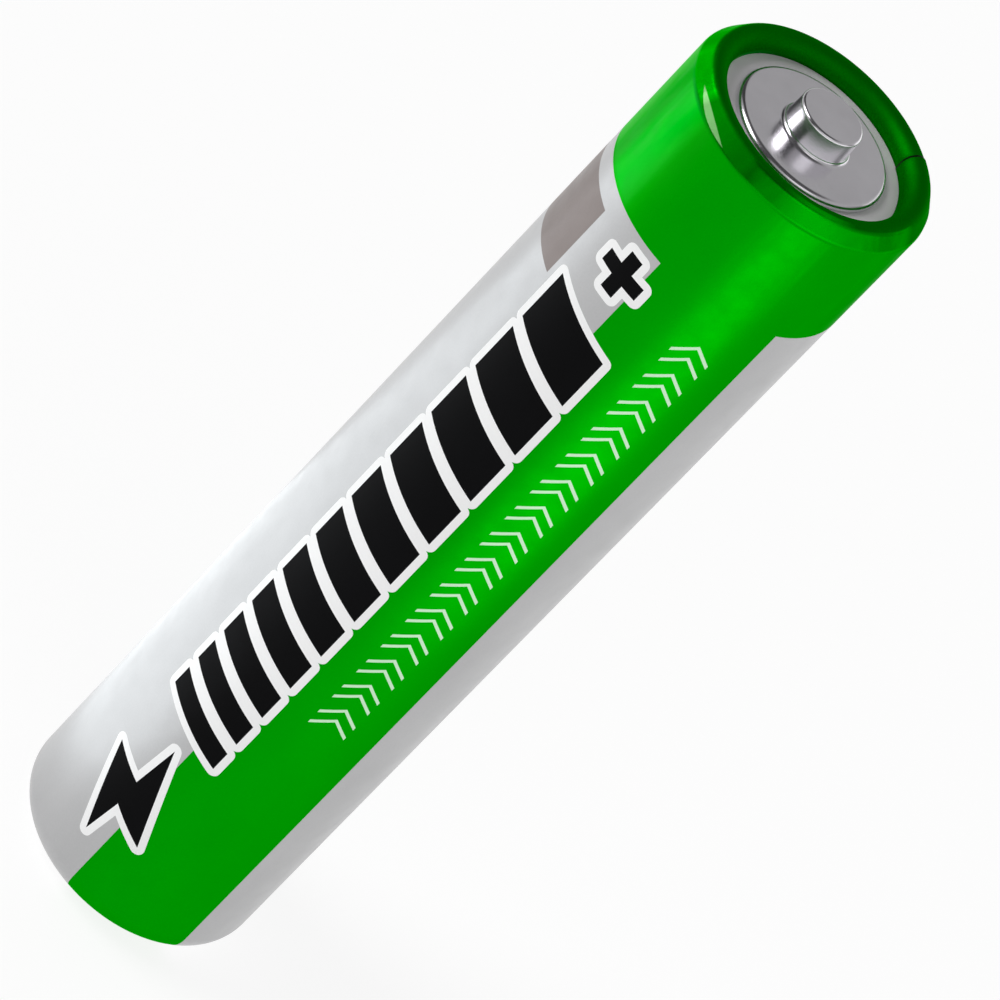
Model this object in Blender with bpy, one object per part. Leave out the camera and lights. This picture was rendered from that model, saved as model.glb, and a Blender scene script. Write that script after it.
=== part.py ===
"""AAA-size (LR03) alkaline cell, built as the separate pieces that it comes apart into.

Blender metres, +Z up. The cell stands on its negative terminal: the origin is the centre of the
negative contact face and +Z runs along the axis to the positive nub.
"""

from math import cos, pi, radians, sin, tan

import bpy
import bmesh
from mathutils import Vector

MM = 0.001
SEGMENTS = 36                # facets round every turned piece
BEND_STEP = radians(30)      # longest arc that one facet of a bend stands for
MERGE = 1e-8                 # joins the copies of a point on the axis

# Overall size of the cell
CELL_LENGTH = 44.5 * MM      # negative contact face to the top of the nub
CELL_DIAMETER = 10.0 * MM    # outside the label
FIT_GAP = 0.03 * MM          # clearance between pieces that touch

# Label film
FILM = 0.10 * MM
RIM_TOP = 43.90 * MM         # highest point of the rolled rim round the positive end
RIM_INNER_BEND = 0.54 * MM
RIM_EDGE_RADIUS = 4.56 * MM  # where the rim's top would meet its bevelled shoulder
RIM_CREST_BEND = 0.35 * MM
SHOULDER_HEIGHT = 43.23 * MM # where the shoulder would meet the wall
SHOULDER_BEND = 0.35 * MM
MOUTH_RADIUS = 3.82 * MM     # inside the rim, where the film ends
MOUTH_BOTTOM = 43.14 * MM
HEEL_BEND = 1.12 * MM        # rounding at the negative end
HEEL_BOTTOM = 0.20 * MM      # the negative terminal stands this much proud of the film
HEEL_EDGE_RADIUS = 3.82 * MM

# Steel can: a deep-drawn cup whose closed end carries the positive cap
CAN_WALL = 0.20 * MM
END_FACE = MOUTH_BOTTOM - FIT_GAP
CRIMP_EDGE_RADIUS = 3.72 * MM
BEAD_CENTRE = 3.85 * MM      # groove that the seal is seated against
BEAD_HALF_HEIGHT = 0.55 * MM
BEAD_DEPTH = 0.33 * MM
BEAD_STEPS = 4

# Positive cap: a raised disc with the nub in its middle
CAP_STEEL = 0.25 * MM
DISC_TOP = 43.42 * MM
DISC_RADIUS = 3.14 * MM
DISC_EDGE_BEND = 0.24 * MM
NUB_RADIUS = 1.30 * MM
NUB_DRAFT = 0.02 * MM
NUB_EDGE_BEND = 0.13 * MM
NUB_FOOT_BEND = 0.18 * MM

# Cathode, separator and anode
CATHODE_RINGS = 4
CATHODE_BOTTOM = 4.60 * MM
CATHODE_BORE_RADIUS = 3.15 * MM
CATHODE_CHAMFER = 0.15 * MM
PAPER = 0.12 * MM            # one layer of separator
ANODE_BOTTOM = 4.00 * MM

# Brass collector nail
NAIL_RADIUS = 0.55 * MM
NAIL_HEAD_RADIUS = 0.90 * MM
NAIL_HEAD_THICKNESS = 0.30 * MM
NAIL_END = 33.0 * MM
NAIL_POINT_LENGTH = 1.0 * MM
NAIL_POINT_RADIUS = 0.15 * MM

# Negative cap, seal and support washer
BASE_STEEL = 0.30 * MM
CONTACT_RADIUS = 2.60 * MM   # the negative contact face, bend included
CONTACT_BEND = 0.20 * MM
LEDGE_HEIGHT = 0.32 * MM
LEDGE_RADIUS = 3.40 * MM
FLANGE_HEIGHT = 0.79 * MM
FLANGE_RADIUS = 4.00 * MM
BASE_VENT_RADIUS = 0.22 * MM
BASE_VENT_CIRCLE = 2.85 * MM
VENTS = 4

SEAL_WALL_RADIUS = 4.58 * MM
SEAL_TOP = 3.20 * MM
SEAL_HUB_RADIUS = 1.15 * MM
SEAL_HUB_BOTTOM = 0.95 * MM
SEAL_HUB_TOP = 3.40 * MM
SEAL_WEB_BOTTOM = 2.35 * MM
SEAL_WEB_TOP = 2.75 * MM
SEAL_LIP_RADIUS = 3.50 * MM
SEAL_LIP_BOTTOM = 0.34 * MM
MEMBRANE = 0.15 * MM         # thin ring of the seal that tears to vent the cell
MEMBRANE_INNER = 1.30 * MM
MEMBRANE_OUTER = 1.65 * MM
SEALANT_BOTTOM = 1.30 * MM
SEALANT_TOP = 2.95 * MM

WASHER_STEEL = 0.30 * MM
WASHER_RAISED = 1.60 * MM
WASHER_RAISED_RADIUS = 2.60 * MM
WASHER_FLANGE_INNER = 3.10 * MM
WASHER_VENT_RADIUS = 0.35 * MM
WASHER_VENT_CIRCLE = 1.90 * MM

LABEL_RADIUS = CELL_DIAMETER / 2
CAN_RADIUS = LABEL_RADIUS - FILM - FIT_GAP
CAN_BORE_RADIUS = CAN_RADIUS - CAN_WALL
CAN_FLOOR = END_FACE - CAN_WALL
CAP_FOOT = END_FACE + FIT_GAP


def clear_scene():
    for old in list(bpy.data.objects):
        bpy.data.objects.remove(old)


# ---------------------------------------------------------------- sections

def rounded(corners):
    """A section line through (radius, height, bend) corners, with an arc in place of each bend."""
    line = []
    for index, (r, z, bend) in enumerate(corners):
        here = Vector((r, z))
        if bend <= 0 or index in (0, len(corners) - 1):
            line.append((r, z))
            continue
        back = (Vector(corners[index - 1][:2]) - here).normalized()
        ahead = (Vector(corners[index + 1][:2]) - here).normalized()
        opening = back.angle(ahead)
        turn = pi - opening
        reach = bend / tan(opening / 2)
        centre = here + (back + ahead).normalized() * bend / sin(opening / 2)
        first = here + back * reach - centre
        last = here + ahead * reach - centre
        steps = max(2, round(turn / BEND_STEP))
        for step in range(steps + 1):
            share = step / steps
            spoke = (first * sin(turn * (1 - share)) + last * sin(turn * share)) / sin(turn)
            line.append(tuple(centre + spoke))
    return line


def offset(corners, distance):
    """The same corners moved by distance to the right of travel, with bends that stay concentric."""
    moved = []
    points = [Vector(corner[:2]) for corner in corners]
    for index, (here, corner) in enumerate(zip(points, corners)):
        ways = []
        if index > 0:
            ways.append((here - points[index - 1]).normalized())
        if index < len(points) - 1:
            ways.append((points[index + 1] - here).normalized())
        normals = [Vector((way.y, -way.x)) for way in ways]
        middle = sum(normals, Vector((0, 0))).normalized()
        place = here + middle * distance / middle.dot(normals[0])
        turns_right = len(ways) == 2 and ways[0].cross(ways[1]) < 0
        change = -distance if turns_right else distance
        bend = max(corner[2] + change, 0) if corner[2] > 0 else 0
        moved.append((place.x, place.y, bend))
    return moved


def sheet_section(corners, thickness):
    """The closed section of a pressed sheet whose outer face follows the corners."""
    return rounded(corners) + rounded(offset(corners, thickness))[::-1]


# ---------------------------------------------------------------- solids

def finish(name, colour, roughness, metallic):
    material = bpy.data.materials.new(name)
    material.use_nodes = True
    shader = material.node_tree.nodes["Principled BSDF"]
    shader.inputs["Base Color"].default_value = (*colour, 1)
    shader.inputs["Roughness"].default_value = roughness
    shader.inputs["Metallic"].default_value = metallic
    material.diffuse_color = (*colour, 1)
    return material


def add_object(name, bm, material=None):
    bmesh.ops.recalc_face_normals(bm, faces=bm.faces)
    mesh = bpy.data.meshes.new(name)
    bm.to_mesh(mesh)
    bm.free()
    obj = bpy.data.objects.new(name, mesh)
    bpy.context.scene.collection.objects.link(obj)
    if material:
        mesh.materials.append(material)
    mesh.shade_smooth()
    mesh.set_sharp_from_angle(angle=radians(35))
    return obj


def turned(name, section, material):
    """A solid of revolution about Z from a section of (radius, height) points.

    A section that starts and ends on the axis is left open there; any other is closed.
    """
    bm = bmesh.new()
    points = [bm.verts.new((r, 0, z)) for r, z in section]
    edges = [bm.edges.new(pair) for pair in zip(points, points[1:])]
    if section[0][0] > 0 or section[-1][0] > 0:
        edges.append(bm.edges.new((points[-1], points[0])))
    bmesh.ops.spin(
        bm,
        geom=points + edges,
        cent=(0, 0, 0),
        axis=(0, 0, 1),
        angle=2 * pi,
        steps=SEGMENTS,
        use_merge=True,
    )
    bmesh.ops.remove_doubles(bm, verts=bm.verts, dist=MERGE)
    return add_object(name, bm, material)


def tube_section(inner, outer, bottom, top):
    return [(inner, bottom), (outer, bottom), (outer, top), (inner, top)]


def drill_ring(target, hole_radius, circle_radius, bottom, top):
    """Cuts a ring of upright vent holes through the target."""
    bm = bmesh.new()
    for index in range(VENTS):
        angle = 2 * pi * (index + 0.5) / VENTS
        drill = bmesh.ops.create_cone(
            bm,
            cap_ends=True,
            segments=16,
            radius1=hole_radius,
            radius2=hole_radius,
            depth=top - bottom,
        )
        place = Vector((circle_radius * cos(angle), circle_radius * sin(angle), (top + bottom) / 2))
        bmesh.ops.translate(bm, verts=drill["verts"], vec=place)
    cutter = add_object(target.name + "_vent_cutter", bm)
    cutter.hide_render = True
    cutter.display_type = "WIRE"
    cut = target.modifiers.new("vents", "BOOLEAN")
    cut.operation = "DIFFERENCE"
    cut.object = cutter


# ---------------------------------------------------------------- jacket and can

def label_corners():
    """The film's outer face, from its edge in the positive mouth to its edge at the negative end."""
    return [
        (MOUTH_RADIUS, MOUTH_BOTTOM, 0),
        (MOUTH_RADIUS, RIM_TOP, RIM_INNER_BEND),
        (RIM_EDGE_RADIUS, RIM_TOP, RIM_CREST_BEND),
        (LABEL_RADIUS, SHOULDER_HEIGHT, SHOULDER_BEND),
        (LABEL_RADIUS, HEEL_BOTTOM, HEEL_BEND),
        (HEEL_EDGE_RADIUS, HEEL_BOTTOM, 0),
    ]


def make_label():
    green_film = finish("label_film", (0.01, 0.29, 0.02), 0.28, 0.15)
    return turned("label_sleeve", sheet_section(label_corners(), FILM), green_film)


def bead_corners():
    """The groove rolled into the can wall, top to bottom, as a smooth cosine dip."""
    corners = []
    for step in range(-BEAD_STEPS, BEAD_STEPS + 1):
        share = step / BEAD_STEPS
        depth = BEAD_DEPTH * (1 + cos(pi * share)) / 2
        corners.append((CAN_RADIUS - depth, BEAD_CENTRE - BEAD_HALF_HEIGHT * share, 0))
    return corners


def make_can(nickel_steel):
    under_film = offset(label_corners(), FILM + FIT_GAP)
    mouth, flank, crest, shoulder, heel = under_film[:5]
    corners = [
        (0, END_FACE, 0),
        (mouth[0], END_FACE, 0),
        flank,
        crest,
        shoulder,
        *bead_corners(),
        heel,
        (CRIMP_EDGE_RADIUS, heel[1], 0),
    ]
    return turned("steel_can", sheet_section(corners, CAN_WALL), nickel_steel)


def make_positive_cap(nickel_steel):
    corners = [
        (0, CELL_LENGTH, 0),
        (NUB_RADIUS - NUB_DRAFT, CELL_LENGTH, NUB_EDGE_BEND),
        (NUB_RADIUS + NUB_DRAFT, DISC_TOP, NUB_FOOT_BEND),
        (DISC_RADIUS, DISC_TOP, DISC_EDGE_BEND),
        (DISC_RADIUS, CAP_FOOT, 0),
    ]
    return turned("positive_cap", sheet_section(corners, CAP_STEEL), nickel_steel)


# ---------------------------------------------------------------- cell chemistry

def make_cathode_rings():
    black_mix = finish("manganese_dioxide_mix", (0.03, 0.03, 0.032), 0.75, 0.0)
    outer = CAN_BORE_RADIUS - FIT_GAP
    inner = CATHODE_BORE_RADIUS
    pitch = (CAN_FLOOR - CATHODE_BOTTOM) / CATHODE_RINGS
    cut = CATHODE_CHAMFER
    for index in range(CATHODE_RINGS):
        bottom = CATHODE_BOTTOM + index * pitch
        top = bottom + pitch - FIT_GAP
        section = [
            (inner, bottom),
            (outer - cut, bottom),
            (outer, bottom + cut),
            (outer, top - cut),
            (outer - cut, top),
            (inner, top),
        ]
        turned(f"cathode_ring_{index + 1}", section, black_mix)


def make_separator():
    paper = finish("separator_paper", (0.80, 0.78, 0.72), 0.85, 0.0)
    disc_top = CAN_FLOOR - FIT_GAP
    disc_radius = CATHODE_BORE_RADIUS - FIT_GAP
    disc = [(0, disc_top - PAPER), (disc_radius, disc_top - PAPER), (disc_radius, disc_top), (0, disc_top)]
    turned("separator_end_disc", disc, paper)
    wrap_top = disc_top - PAPER - FIT_GAP
    wrap_bottom = SEAL_WEB_TOP + FIT_GAP
    outer = disc_radius
    for name in ("separator_outer_wrap", "separator_inner_wrap"):
        turned(name, tube_section(outer - PAPER, outer, wrap_bottom, wrap_top), paper)
        outer -= PAPER + FIT_GAP
    return outer, wrap_top


def nail_profile(gap):
    """The nail's shank and point, grown by a gap, from just above its head to the axis."""
    shank = NAIL_RADIUS + gap
    tip = NAIL_POINT_RADIUS + gap
    return [(shank, NAIL_END - NAIL_POINT_LENGTH), (tip, NAIL_END + gap), (0, NAIL_END + gap)]


def make_anode(radius, top):
    gel = finish("zinc_gel", (0.33, 0.34, 0.36), 0.45, 0.3)
    bore = nail_profile(FIT_GAP)
    section = [
        (0, top),
        (radius, top),
        (radius, ANODE_BOTTOM),
        (NAIL_RADIUS + FIT_GAP, ANODE_BOTTOM),
        *bore,
    ]
    turned("anode_gel", section, gel)


def make_nail():
    brass = finish("brass", (0.78, 0.55, 0.22), 0.28, 1.0)
    head_bottom = BASE_STEEL + FIT_GAP
    head_top = head_bottom + NAIL_HEAD_THICKNESS
    section = [
        (0, head_bottom),
        (NAIL_HEAD_RADIUS, head_bottom),
        (NAIL_HEAD_RADIUS, head_top),
        (NAIL_RADIUS, head_top),
        *nail_profile(0),
    ]
    turned("collector_nail", section, brass)


# ---------------------------------------------------------------- negative end

def make_negative_cap(nickel_steel):
    corners = [
        (FLANGE_RADIUS, FLANGE_HEIGHT, 0),
        (LEDGE_RADIUS, FLANGE_HEIGHT, 0),
        (LEDGE_RADIUS, LEDGE_HEIGHT, 0),
        (CONTACT_RADIUS, LEDGE_HEIGHT, 0),
        (CONTACT_RADIUS, 0, CONTACT_BEND),
        (0, 0, 0),
    ]
    cap = turned("negative_cap", sheet_section(corners, BASE_STEEL), nickel_steel)
    drill_ring(cap, BASE_VENT_RADIUS, BASE_VENT_CIRCLE, -1 * MM, 2 * MM)


def make_washer():
    steel = finish("plain_steel", (0.45, 0.45, 0.46), 0.40, 1.0)
    flange = FLANGE_HEIGHT + BASE_STEEL + FIT_GAP
    hole = SEAL_HUB_RADIUS + FIT_GAP
    corners = [
        (FLANGE_RADIUS, flange, 0),
        (WASHER_FLANGE_INNER, flange, 0),
        (WASHER_RAISED_RADIUS, WASHER_RAISED, 0),
        (hole, WASHER_RAISED, 0),
    ]
    washer = turned("support_washer", sheet_section(corners, WASHER_STEEL), steel)
    drill_ring(washer, WASHER_VENT_RADIUS, WASHER_VENT_CIRCLE, 1 * MM, 3 * MM)


def make_seal():
    """The nylon seal: a hub on the nail, a web with its vent membrane, and the wall in the crimp."""
    nylon = finish("nylon", (0.82, 0.80, 0.74), 0.45, 0.0)
    bore = NAIL_RADIUS + FIT_GAP
    wall_inner = FLANGE_RADIUS + FIT_GAP
    crimp_inside = HEEL_BOTTOM + FILM + CAN_WALL + 2 * FIT_GAP
    lip_step = CRIMP_EDGE_RADIUS - FIT_GAP
    heel_bend = HEEL_BEND - FILM - CAN_WALL - 2 * FIT_GAP
    under_flange = FLANGE_HEIGHT - FIT_GAP
    membrane_bottom = SEAL_WEB_TOP - MEMBRANE
    corners = [
        (bore, SEAL_HUB_BOTTOM, 0),
        (SEAL_HUB_RADIUS, SEAL_HUB_BOTTOM, 0),
        (SEAL_HUB_RADIUS, SEAL_WEB_BOTTOM, 0),
        (MEMBRANE_INNER, membrane_bottom, 0),
        (MEMBRANE_OUTER, membrane_bottom, 0),
        (MEMBRANE_OUTER + (SEAL_WEB_TOP - SEAL_WEB_BOTTOM) / 2, SEAL_WEB_BOTTOM, 0),
        (wall_inner, SEAL_WEB_BOTTOM, 0),
        (wall_inner, under_flange, 0),
        (SEAL_LIP_RADIUS, under_flange, 0),
        (SEAL_LIP_RADIUS, SEAL_LIP_BOTTOM, 0),
        (lip_step, SEAL_LIP_BOTTOM, 0),
        (lip_step, crimp_inside, 0),
        (SEAL_WALL_RADIUS, crimp_inside, heel_bend),
        (SEAL_WALL_RADIUS, SEAL_TOP, 0),
        (wall_inner, SEAL_TOP, 0),
        (wall_inner - (SEAL_TOP - SEAL_WEB_TOP), SEAL_WEB_TOP, 0),
        (SEAL_HUB_RADIUS, SEAL_WEB_TOP, 0),
        (SEAL_HUB_RADIUS, SEAL_HUB_TOP, 0),
        (bore, SEAL_HUB_TOP, 0),
    ]
    turned("seal_gasket", rounded(corners), nylon)


def make_sealant():
    bitumen = finish("bitumen", (0.02, 0.017, 0.015), 0.35, 0.0)
    inner = SEAL_WALL_RADIUS + FIT_GAP
    outer = CAN_BORE_RADIUS - FIT_GAP
    turned("sealant_band", tube_section(inner, outer, SEALANT_BOTTOM, SEALANT_TOP), bitumen)


def main():
    clear_scene()
    nickel_steel = finish("nickel_plated_steel", (0.56, 0.55, 0.57), 0.25, 1.0)
    make_label()
    make_can(nickel_steel)
    make_positive_cap(nickel_steel)
    make_cathode_rings()
    anode_radius, wrap_top = make_separator()
    make_anode(anode_radius, wrap_top)
    make_nail()
    make_negative_cap(nickel_steel)
    make_washer()
    make_seal()
    make_sealant()


main()
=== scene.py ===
"""Looks of an AAA-size alkaline cell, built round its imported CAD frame. Metres, +Z up.

The cell stands on its negative terminal. The sleeve's print is laid out in millimetres on the
unrolled film: s runs round the cell from the meridian that faces the camera, positive to the
right, and h runs up it. On the straight wall h is the height above the negative contact face;
past each bend it goes on as the length along the film.
"""

from math import atan2, ceil, cos, pi, radians, sin, tan

import bmesh
import bpy
import numpy as np
from mathutils import Matrix, Vector
from mathutils.geometry import delaunay_2d_cdt


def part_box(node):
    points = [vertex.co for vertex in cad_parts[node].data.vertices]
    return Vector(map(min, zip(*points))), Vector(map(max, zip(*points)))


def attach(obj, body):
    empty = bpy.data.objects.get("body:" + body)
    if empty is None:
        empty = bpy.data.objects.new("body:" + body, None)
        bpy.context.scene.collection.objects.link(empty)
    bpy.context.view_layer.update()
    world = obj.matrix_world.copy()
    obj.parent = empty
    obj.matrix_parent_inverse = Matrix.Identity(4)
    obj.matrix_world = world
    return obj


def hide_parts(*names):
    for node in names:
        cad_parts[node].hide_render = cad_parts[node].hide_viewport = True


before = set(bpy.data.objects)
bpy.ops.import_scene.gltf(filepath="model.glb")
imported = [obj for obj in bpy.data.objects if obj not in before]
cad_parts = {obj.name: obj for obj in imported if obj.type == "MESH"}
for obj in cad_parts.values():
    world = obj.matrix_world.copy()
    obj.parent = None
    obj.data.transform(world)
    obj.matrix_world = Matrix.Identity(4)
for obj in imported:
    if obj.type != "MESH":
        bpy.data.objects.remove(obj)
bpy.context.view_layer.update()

MM = 0.001


# ---------------------------------------------------------------- sizes, from the frame

def turned_points(node):
    """The radii and the heights, in mm, of a CAD node's points."""
    points = np.array([vertex.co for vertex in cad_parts[node].data.vertices]) / MM
    return np.hypot(points[:, 0], points[:, 1]), points[:, 2]


def top_beyond(node, inner):
    """The highest point, in mm, of a CAD node outside a radius in mm."""
    radii, heights = turned_points(node)
    return float(heights[radii > inner].max())


def least_radius(node, bottom, top):
    """The smallest radius, in mm, of a CAD node between two heights in mm."""
    radii, heights = turned_points(node)
    return float(radii[(heights > bottom) & (heights < top)].min())


LABEL_LOW, LABEL_HIGH = [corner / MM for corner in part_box("label_sleeve")]
CAP_LOW, CAP_HIGH = [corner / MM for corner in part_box("positive_cap")]
CAN_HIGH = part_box("steel_can")[1] / MM
BASE_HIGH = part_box("negative_cap")[1] / MM
MIDDLE = LABEL_HIGH.z / 2

GAP = 0.03                                    # clearance that touching pieces keep
FILM = 0.10                                   # thickness of the sleeve
STEP = 0.03                                   # how proud the lapped end of the film stands
LABEL_RADIUS = LABEL_HIGH.x
RIM_TOP = LABEL_HIGH.z
RIM_INNER_BEND = 0.54
RIM_EDGE_RADIUS = 4.56                        # where the rim's top would meet its bevelled shoulder
RIM_CREST_BEND = 0.35
SHOULDER_HEIGHT = 43.23                       # where the shoulder would meet the wall
SHOULDER_BEND = 0.35
MOUTH_RADIUS = least_radius("label_sleeve", MIDDLE, RIM_TOP)
END_FACE = CAP_LOW.z - GAP
MOUTH_BOTTOM = END_FACE + 0.004               # the film's edge rests on the can's end face
HEEL_BEND = 1.12
HEEL_BOTTOM = LABEL_LOW.z
HEEL_EDGE_RADIUS = least_radius("label_sleeve", 0, MIDDLE)

CAN_WALL = 0.20
CAN_RADIUS = CAN_HIGH.x
CRIMP_EDGE_RADIUS = least_radius("steel_can", 0, 1)
BEAD_CENTRE = 3.85
BEAD_HALF_HEIGHT = 0.55
BEAD_DEPTH = 0.33
BEAD_STEPS = 32

CAP_STEEL = 0.25
CAP_TOP = CAP_HIGH.z
DISC_RADIUS = CAP_HIGH.x
NUB_RADIUS = 1.30
NUB_DRAFT = 0.02
DISC_TOP = top_beyond("positive_cap", 1.5 * NUB_RADIUS)
NUB_EDGE_BEND = 0.13
NUB_FOOT_BEND = 0.18
DISC_EDGE_BEND = 0.24

BASE_STEEL = 0.30
CONTACT_RADIUS = 2.60
LEDGE_HEIGHT = 0.32
LEDGE_RADIUS = 3.40
LEDGE_BEND = 0.06
CONTACT_FOOT_BEND = 0.05
CONTACT_EDGE_BEND = 0.20
FLANGE_HEIGHT = 0.79
FLANGE_RADIUS = BASE_HIGH.x
BASE_VENTS = 4
BASE_VENT_RADIUS = 0.22
BASE_VENT_CIRCLE = 2.85

# ---------------------------------------------------------------- print layout, mm

SEAM_AT = LABEL_RADIUS * radians(140)         # where the lapped end of the film lies, round the back
LAP = 2.5                                     # width of the lap
LAP_EASE = 1.0                                # how far the film takes to climb onto it
# width of the dark strip along the seam, painted as the shade in the slit under the lapped end
SEAM_WIDTH = 0.13
DRIFT_START = 0.5                             # the film starts to lean this far below the shoulder
SEAM_DRIFT_CREST = radians(-5.5)              # the seam leans as the film shrinks over the rim
SEAM_DRIFT_MOUTH = radians(-6.5)

GLINT_AT = radians(-39)                      # middle of a pale glint painted on the shoulder, from the front
GLINT_REACH = radians(16)                    # half its length
GLINT_HEIGHT = 43.41
GLINT_LEAN = 0.12                            # how much lower than its middle its right end lies
GLINT_HALF = 0.12                            # half its width

# Where the green ink's gloss changes and where highlights and shade are painted on it: degrees round from
# the front, as (from, to, width of the edges)
GLOSS_STREAKS = (-85, -38, 30)
DULL_SHADED_LEFT = (-50, -8, 12)
DULL_SHADED_RIGHT = (76, 150, 16)
PAINTED_HIGHLIGHT_LEFT = (-79, -55, 8)
PAINTED_HIGHLIGHT_FRONT = (13, 38, 14)
PAINTED_SHEEN_SIDE = (-122, -48, 26)
PAINTED_GLANCE_SIDE = (-98, -72, 12)
PAINTED_SHADE_SIDE = (74, 110, 16)
DULL_SHADED_RADIUS = 4.58                            # the crest of the rim is dull, and its green painted darker as shade, inside this radius
PAINTED_HIGHLIGHT_RADIUS = 4.40                            # the painted highlight streak at the front reaches in to here

COLLAR = 38.45                                # the green collar starts here
BAND = (-0.78, 4.35)                          # green band down the front
BACK_STRIPE = (-16.8, -14.6)
GREY_BLOCK = (-10.6, -3.75, 34.1, 37.6)       # boxes are low s, high s, low h, high h
BACK_MINUS = (-13.8, -11.4, 4.0, 4.6)
FRONT_PLUS = (-1.5, 36.9, 0.95, 0.30)         # plus signs are middle s, middle h, reach, half their stroke
BLOCK_PLUS = (-9.1, 35.85, 0.95, 0.26)
BACK_PLUS = (-12.6, 34.5, 1.2, 0.30)

MOTIF_TOP = -3.2                              # the black motif lies between these two s
MOTIF_FOOT = 0.2
SLANT = -0.27                                 # dh/ds of its leaning edges
KEYLINE = 0.30                                # white border round the black
BARS = 11
BAR_START = 9.35
BAR_GAP = 0.58
FIRST_BAR = 0.95
LAST_BAR = 2.45

CHEVRONS = 15
CHEVRON_START = 13.7
CHEVRON_PITCH = 1.55
CHEVRON_DOUBLE = 0.62                         # each is two lines, this far apart
CHEVRON_SPAN = (1.5, 3.05)                    # the s of its two feet
CHEVRON_RISE = 0.62
CHEVRON_STROKE = 0.13

COLUMN_STEP = radians(3)
WALL_ROW = 0.8
SHORT_ROW = 0.15                              # on the short straight parts at the two ends
BEND_ROW = radians(6)
EDGE_STEP = 0.22                              # longest piece of a printed edge, so that it stays curved
CLEAR = 0.07                                  # grid points this near a cut mark are left out
LINE_CLEAR = 0.1                              # grid lines this near a straight printed edge, too
SAME = 1e-6                                   # grid values closer than this are one


# ---------------------------------------------------------------- node trees

def add(tree, kind, inputs=None, **settings):
    """Adds a shader node; an input is given as a value or as the socket that feeds it."""
    node = tree.nodes.new("ShaderNode" + kind)
    for key, value in settings.items():
        setattr(node, key, value)
    for key, value in (inputs or {}).items():
        if isinstance(value, bpy.types.NodeSocket):
            tree.links.new(value, node.inputs[key])
        else:
            node.inputs[key].default_value = value
    return node


def calc(tree, operation, first, second=0.0):
    """Result of one arithmetic node."""
    return add(tree, "Math", {0: first, 1: second}, operation=operation).outputs[0]


def product(tree, *factors):
    """Product of numbers and sockets."""
    result = factors[0]
    for factor in factors[1:]:
        result = calc(tree, "MULTIPLY", result, factor)
    return result


def place(tree, stretch=(1, 1, 1)):
    """Object coordinates in metres, shrunk along the axes that a pattern is stretched along."""
    where = add(tree, "TexCoord").outputs["Object"]
    return add(tree, "Mapping", {"Vector": where, "Scale": stretch}).outputs[0]


def noise(tree, size, detail=2.0, stretch=(1, 1, 1), roughness=0.5):
    """Noise from 0 to 1 with features of about size millimetres."""
    inputs = {
        "Vector": place(tree, stretch),
        "Scale": 1 / (size * MM),
        "Detail": detail,
        "Roughness": roughness,
    }
    return add(tree, "TexNoise", inputs).outputs[0]


def spread(tree, value, low, high, start=0.0, end=1.0):
    """Maps low..high of a value to start..end, held at both ends."""
    inputs = {0: value, 1: low, 2: high, 3: start, 4: end}
    return add(tree, "MapRange", inputs).outputs[0]


def blended(tree, amount, first, second):
    """Mix of two colours or colour sockets."""
    inputs = {0: amount, 6: first, 7: second}
    return add(tree, "Mix", inputs, data_type="RGBA").outputs[2]


def shade(colour, factor):
    return (*[channel * factor for channel in colour], 1)


def axis_parts(tree):
    """(x, y, z) sockets of the object coordinates."""
    where = add(tree, "TexCoord").outputs["Object"]
    return add(tree, "SeparateXYZ", {0: where}).outputs


def raised(tree, heights):
    """A normal from (height socket, depth in mm) pairs, laid over one another."""
    normal = None
    for height, depth in heights:
        inputs = {"Height": height, "Distance": depth * MM, "Strength": 1.0}
        if normal:
            inputs["Normal"] = normal
        normal = add(tree, "Bump", inputs).outputs[0]
    return normal


def finish_material(name, colour, **values):
    """A new material, its tree and its Principled node; values are that node's inputs."""
    material = bpy.data.materials.new(name)
    material.use_nodes = True
    material.diffuse_color = (*colour, 1)
    tree = material.node_tree
    shader = tree.nodes["Principled BSDF"]
    shader.inputs["Base Color"].default_value = (*colour, 1)
    for key, value in values.items():
        shader.inputs[key.replace("_", " ")].default_value = value
    return material, tree, shader


def feed(tree, shader, **sockets):
    for key, socket in sockets.items():
        tree.links.new(socket, shader.inputs[key.replace("_", " ")])


# ---------------------------------------------------------------- sleeve materials

def shrink_zone(tree):
    """1 near the two ends, where the film has shrunk over a bend, and 0 along the wall."""
    height = axis_parts(tree)[2]
    top = spread(tree, height, 38.0 * MM, 43.0 * MM)
    foot = spread(tree, height, 3.0 * MM, 1.2 * MM)
    return calc(tree, "MAXIMUM", top, foot)


def film_relief(tree):
    """Orange peel of the film all over, and creases along the cell near its ends."""
    peel = noise(tree, 0.35, 3)
    waves = noise(tree, 2.6, 1, (1, 1, 0.25))
    crease = product(tree, noise(tree, 1.1, 2, (1, 1, 0.12)), shrink_zone(tree))
    return raised(tree, [(peel, 0.0015), (waves, 0.012), (crease, 0.045)])


def way_round(tree):
    """Angle about the axis in radians, from the meridian that faces the camera, positive to the right."""
    x, y, _ = axis_parts(tree)
    return calc(tree, "ARCTAN2", x, product(tree, y, -1.0))


def patch(tree, angle, low, high, soft):
    """1 where an angle in radians lies between two angles in degrees, with edges soft degrees wide."""
    rise = spread(tree, angle, radians(low - soft / 2), radians(low + soft / 2))
    fall = spread(tree, angle, radians(high - soft / 2), radians(high + soft / 2), 1.0, 0.0)
    return product(tree, rise, fall)


def on_rim(tree):
    """1 on the film that is folded over the positive end, from the bevelled shoulder inwards."""
    height = axis_parts(tree)[2]
    return spread(tree, height, (SHOULDER_HEIGHT - 0.02) * MM, (SHOULDER_HEIGHT + 0.08) * MM)


def on_collar(tree):
    """1 on the wall part of the collar."""
    height = axis_parts(tree)[2]
    above = spread(tree, height, (COLLAR - 0.2) * MM, (COLLAR + 0.2) * MM)
    return calc(tree, "SUBTRACT", above, on_rim(tree))


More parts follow.
